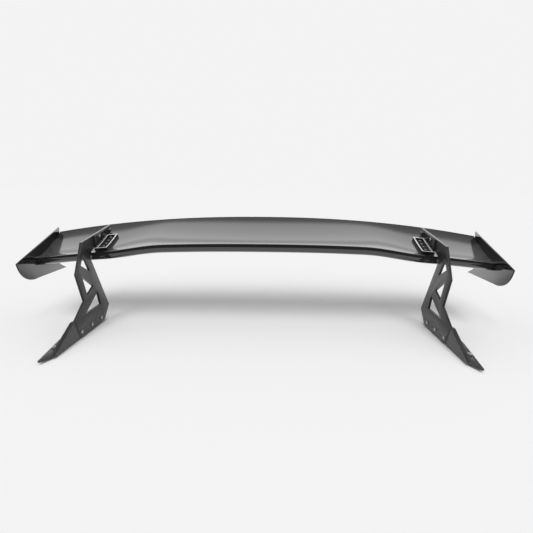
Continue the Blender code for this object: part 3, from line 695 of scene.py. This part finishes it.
def make_twill():
    """2/2 twill of square tows: tone of the tow on top, and its crown as a height."""
    group = effect_group(
        "twill_cloth",
        [
            ("Across", "NodeSocketFloat", 0.0),
            ("Along", "NodeSocketFloat", 0.0),
            ("Tow", "NodeSocketFloat", TOW),
        ],
        [("Tone", "NodeSocketFloat"), ("Crown", "NodeSocketFloat")],
    )
    given, put = group.nodes["Group Input"], group.nodes["Group Output"]

    def step(operation, first, second=None, third=None):
        node = add_node(group, "ShaderNodeMath", operation=operation)
        for place, value in enumerate((first, second, third)):
            if isinstance(value, (int, float)):
                node.inputs[place].default_value = value
            elif value is not None:
                group.links.new(value, node.inputs[place])
        return node.outputs[0]

    across = step("DIVIDE", given.outputs["Across"], given.outputs["Tow"])
    along = step("DIVIDE", given.outputs["Along"], given.outputs["Tow"])
    diagonal = step("ADD", step("FLOOR", across), step("FLOOR", along))
    over = step("LESS_THAN", step("FLOORED_MODULO", diagonal, 4.0), 2.0)
    crown_a = step("SINE", step("MULTIPLY", step("FRACT", across), math.pi))
    crown_b = step("SINE", step("MULTIPLY", step("FRACT", along), math.pi))
    flipped = step("SUBTRACT", 1.0, over)
    crown = step("ADD", step("MULTIPLY", over, crown_a), step("MULTIPLY", flipped, crown_b))
    tone = step("MULTIPLY_ADD", over, 0.75, step("MULTIPLY", crown, 0.25))
    group.links.new(tone, put.inputs["Tone"])
    group.links.new(crown, put.inputs["Crown"])
    return group


twill_cloth = make_twill()


def gloss_carbon(name, across_axis, along_axis):
    """Carbon twill under a polished clear coat. The axes are the ones that the cloth lies along."""
    finish = bpy.data.materials.new(name)
    finish.use_nodes = True
    tree = finish.node_tree
    shader = tree.nodes["Principled BSDF"]
    shader.inputs["Coat Weight"].default_value = 1.0
    shader.inputs["Coat Roughness"].default_value = 0.03
    shader.inputs["Coat IOR"].default_value = 1.52
    place = add_node(tree, "ShaderNodeTexCoord")
    axes = add_node(tree, "ShaderNodeSeparateXYZ")
    tree.links.new(place.outputs["Object"], axes.inputs[0])
    cloth = use_group(tree, twill_cloth, Tow=TOW)
    tree.links.new(axes.outputs[across_axis], cloth.inputs["Across"])
    tree.links.new(axes.outputs[along_axis], cloth.inputs["Along"])
    tone = add_node(tree, "ShaderNodeMix", data_type="RGBA")
    tone.inputs["A"].default_value = (*CARBON_DARK, 1.0)
    tone.inputs["B"].default_value = (*CARBON_LIGHT, 1.0)
    tree.links.new(cloth.outputs["Tone"], tone.inputs["Factor"])
    tree.links.new(tone.outputs["Result"], shader.inputs["Base Color"])
    rough = add_node(tree, "ShaderNodeMapRange", {"To Min": 0.05, "To Max": 0.11})
    tree.links.new(cloth.outputs["Tone"], rough.inputs["Value"])
    tree.links.new(rough.outputs[0], shader.inputs["Roughness"])
    relief = add_node(tree, "ShaderNodeBump", {"Strength": 0.15, "Distance": 0.0001})
    tree.links.new(cloth.outputs["Crown"], relief.inputs["Height"])
    tree.links.new(relief.outputs[0], shader.inputs["Normal"])
    return finish


blade_carbon = gloss_carbon("blade_carbon", "X", "Y")
plate_carbon = gloss_carbon("endplate_carbon", "Y", "Z")


def skin_shell(name, section):
    """A tube with a side for each point of the section, cut along the span and shaped cut by cut."""
    sides = len(section(0.3))
    bpy.ops.object.select_all(action="DESELECT")
    bpy.ops.mesh.primitive_cylinder_add(
        vertices=sides, radius=1.0, depth=2.0, end_fill_type="NGON", rotation=(0, math.pi / 2, 0)
    )
    shell = bpy.context.object
    shell.name = name
    bpy.ops.object.transform_apply(rotation=True)
    bpy.ops.object.mode_set(mode="EDIT")
    bpy.ops.mesh.select_mode(type="EDGE")
    bpy.ops.mesh.select_all(action="DESELECT")
    shape = bmesh.from_edit_mesh(shell.data)
    for edge in shape.edges:
        edge.select_set(abs(edge.verts[0].co.x - edge.verts[1].co.x) > 1.0)
    bmesh.update_edit_mesh(shell.data)
    bpy.ops.mesh.subdivide(number_cuts=SPAN_CUTS)
    bpy.ops.object.mode_set(mode="OBJECT")
    stations = {}
    for corner in shell.data.vertices:
        step = round((corner.co.x + 1.0) / 2.0 * (SPAN_CUTS + 1))
        if step not in stations:
            x = BLADE_HALF_SPAN * (2.0 * step / (SPAN_CUTS + 1) - 1.0)
            stations[step] = (x, section(chord_length(x)))
        x, points = stations[step]
        turn_share = math.atan2(corner.co.z, corner.co.y) / (2 * math.pi)
        corner.co = blade_point(x, *points[round(turn_share * sides) % sides])
    edit_only(shell)
    bpy.ops.object.mode_set(mode="EDIT")
    bpy.ops.mesh.select_all(action="SELECT")
    bpy.ops.mesh.normals_make_consistent(inside=False)
    bpy.ops.object.mode_set(mode="OBJECT")
    bpy.ops.object.shade_smooth_by_angle(angle=math.radians(30))
    shell.data.materials.append(blade_carbon)
    return shell


for name, section, node in (
    ("blade_top_skin", top_section, "wing_upper_skin"),
    ("blade_belly_skin", bottom_section, "wing_lower_skin"),
):
    skin = skin_shell(name, section)
    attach(skin, "blade")
    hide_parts(node)

# ---------------------------------------------------------------------------------------------
# Inside the blade: two carbon box spars, an aluminium closing rib at each tip and an aluminium
# insert under each bracket, all bonded in before the skins are closed.
# ---------------------------------------------------------------------------------------------

MILLED_ALLOY = (0.50, 0.51, 0.53)
MILLED_WORN = (0.65, 0.65, 0.66)

bare_alloy = metal_finish(
    "bare_alloy", MILLED_ALLOY, MILLED_WORN, 0.36, 1.0, 700.0, (0.06, 1.0, 1.0), 0.4, 0.3
)


def refinish(node, finish):
    """Gives a CAD node, whose shape stays, its material."""
    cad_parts[node].data.materials.clear()
    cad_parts[node].data.materials.append(finish)


for node in ("front_spar", "rear_spar"):
    refinish(node, blade_carbon)
for label in SIDES:
    refinish(f"tip_rib_{label}", bare_alloy)
    refinish(f"mount_insert_{label}", bare_alloy)

# ---------------------------------------------------------------------------------------------
# Endplates: flat carbon plates, 6 mm thick with rounded, lacquered edges, screwed to the tip
# ribs by three button screws each from outside.
# ---------------------------------------------------------------------------------------------

ENDPLATE_EDGE = 0.0011
M5_HEAD = 0.0045
M5_HEAD_HEIGHT = 0.0026
M5_SHANK = 0.0025

for label, side in SIDES.items():
    node = f"endplate_{label}"
    # The cut faces that look forward, back or down get the near-black finish as painted shade; the broken
    # edges stay carbon.
    plate = plate_from(node, f"tip_plate_{label}", ENDPLATE_EDGE, plate_carbon, plate_carbon, black_and_shade_finish)
    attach(plate, "blade")
    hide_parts(node)
    for number in (1, 2, 3):
        node = f"endplate_screw_{label}_{number}"
        low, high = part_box(node)
        seat = (high.x - M5_HEAD_HEIGHT) if side > 0 else (low.x + M5_HEAD_HEIGHT)
        length = high.x - low.x - M5_HEAD_HEIGHT
        model = button_screw("screw_model", M5_HEAD, M5_HEAD_HEIGHT, M5_SHANK, length)
        centre = middle_of(node)
        place = Vector((seat, centre.y, centre.z))
        put_copy(model, "button_" + node, place, (side, 0, 0), "blade", node, spin=0.3 * number)
        bpy.data.objects.remove(model)

# ---------------------------------------------------------------------------------------------
# Brackets: milled aluminium angles in deep black. The base is a shallow tray with a raised rim, held
# down by four screws, and the web stands against the upright's arm. The rim's top and the broken
# edges are painted pale as a highlight.
# ---------------------------------------------------------------------------------------------

BRACKET_BREAK = 0.0009
SCREW_CHORDS = (0.24, 0.335, 0.43, 0.525)

TRAY_HEIGHT = 0.010
TRAY_REACH = 0.0395  # from the tray's inner side to the web
RIM_WITHIN = 0.0015
RIM_FACING = 0.9
RIM_HIGHLIGHT_TONE = (0.72, 0.72, 0.73)
RIM_WORN = (0.85, 0.85, 0.85)

# Pale finish for the rim's top and the brackets' broken edges: a painted highlight.
rim_highlight_paint = metal_finish(
    "rim_highlight_paint_alloy", RIM_HIGHLIGHT_TONE, RIM_WORN, 0.24, 0.35, 900.0, (1.0, 0.1, 1.0), 0.3, 0.1
)


def top_point(x, chord_share):
    return blade_point(x, chord_share, height_on(TOP, chord_share))


def top_normal(x, chord_share):
    step = 0.01
    along_chord = top_point(x, chord_share + step) - top_point(x, chord_share - step)
    along_span = top_point(x + step, chord_share) - top_point(x - step, chord_share)
    return along_span.cross(along_chord).normalized()


def height_over_skin(place):
    """Height of a place above the blade's top face, and the way that face looks there."""
    front, back = leading_edge(place.x)[0], trailing_edge(place.x)[0]
    chord_share = (place.y + HALF_LENGTH - front) / (back - front)
    normal = top_normal(place.x, chord_share)
    return (place - top_point(place.x, chord_share)).dot(normal), normal


for label, side in SIDES.items():
    node = f"wing_bracket_{label}"
    tray = plate_from(node, f"blade_bracket_{label}", BRACKET_BREAK, black_and_shade_finish, rim_highlight_paint, black_and_shade_finish)
    inner_side = min(abs(x) for x in (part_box(node)[0].x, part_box(node)[1].x))
    for face in tray.data.polygons:
        height, normal = height_over_skin(face.center)
        on_tray = abs(face.center.x) < inner_side + TRAY_REACH
        # Painted highlight: the rim's top faces get the pale finish.
        if on_tray and abs(height - TRAY_HEIGHT) < RIM_WITHIN and face.normal.dot(normal) > RIM_FACING:
            face.material_index = EDGE_SLOT
    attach(tray, "blade")
    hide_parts(node)


def box_along(node, axis):
    """Lowest and highest reach of a CAD node along an axis."""
    reaches = [corner.co.dot(axis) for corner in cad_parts[node].data.vertices]
    return min(reaches), max(reaches)


for label, side in SIDES.items():
    for number, chord_share in enumerate(SCREW_CHORDS, 1):
        node = f"bracket_screw_{label}_{number}"
        centre = middle_of(node)
        normal = top_normal(centre.x, chord_share)
        low, high = box_along(node, normal)
        model = button_screw("screw_model", M5_HEAD, M5_HEAD_HEIGHT, M5_SHANK, high - low - M5_HEAD_HEIGHT)
        middle_reach = centre.dot(normal)
        seat = centre + normal * (high - M5_HEAD_HEIGHT - middle_reach)
        put_copy(model, "button_" + node, seat, normal, "blade", node, spin=0.4 * number)
        bpy.data.objects.remove(model)
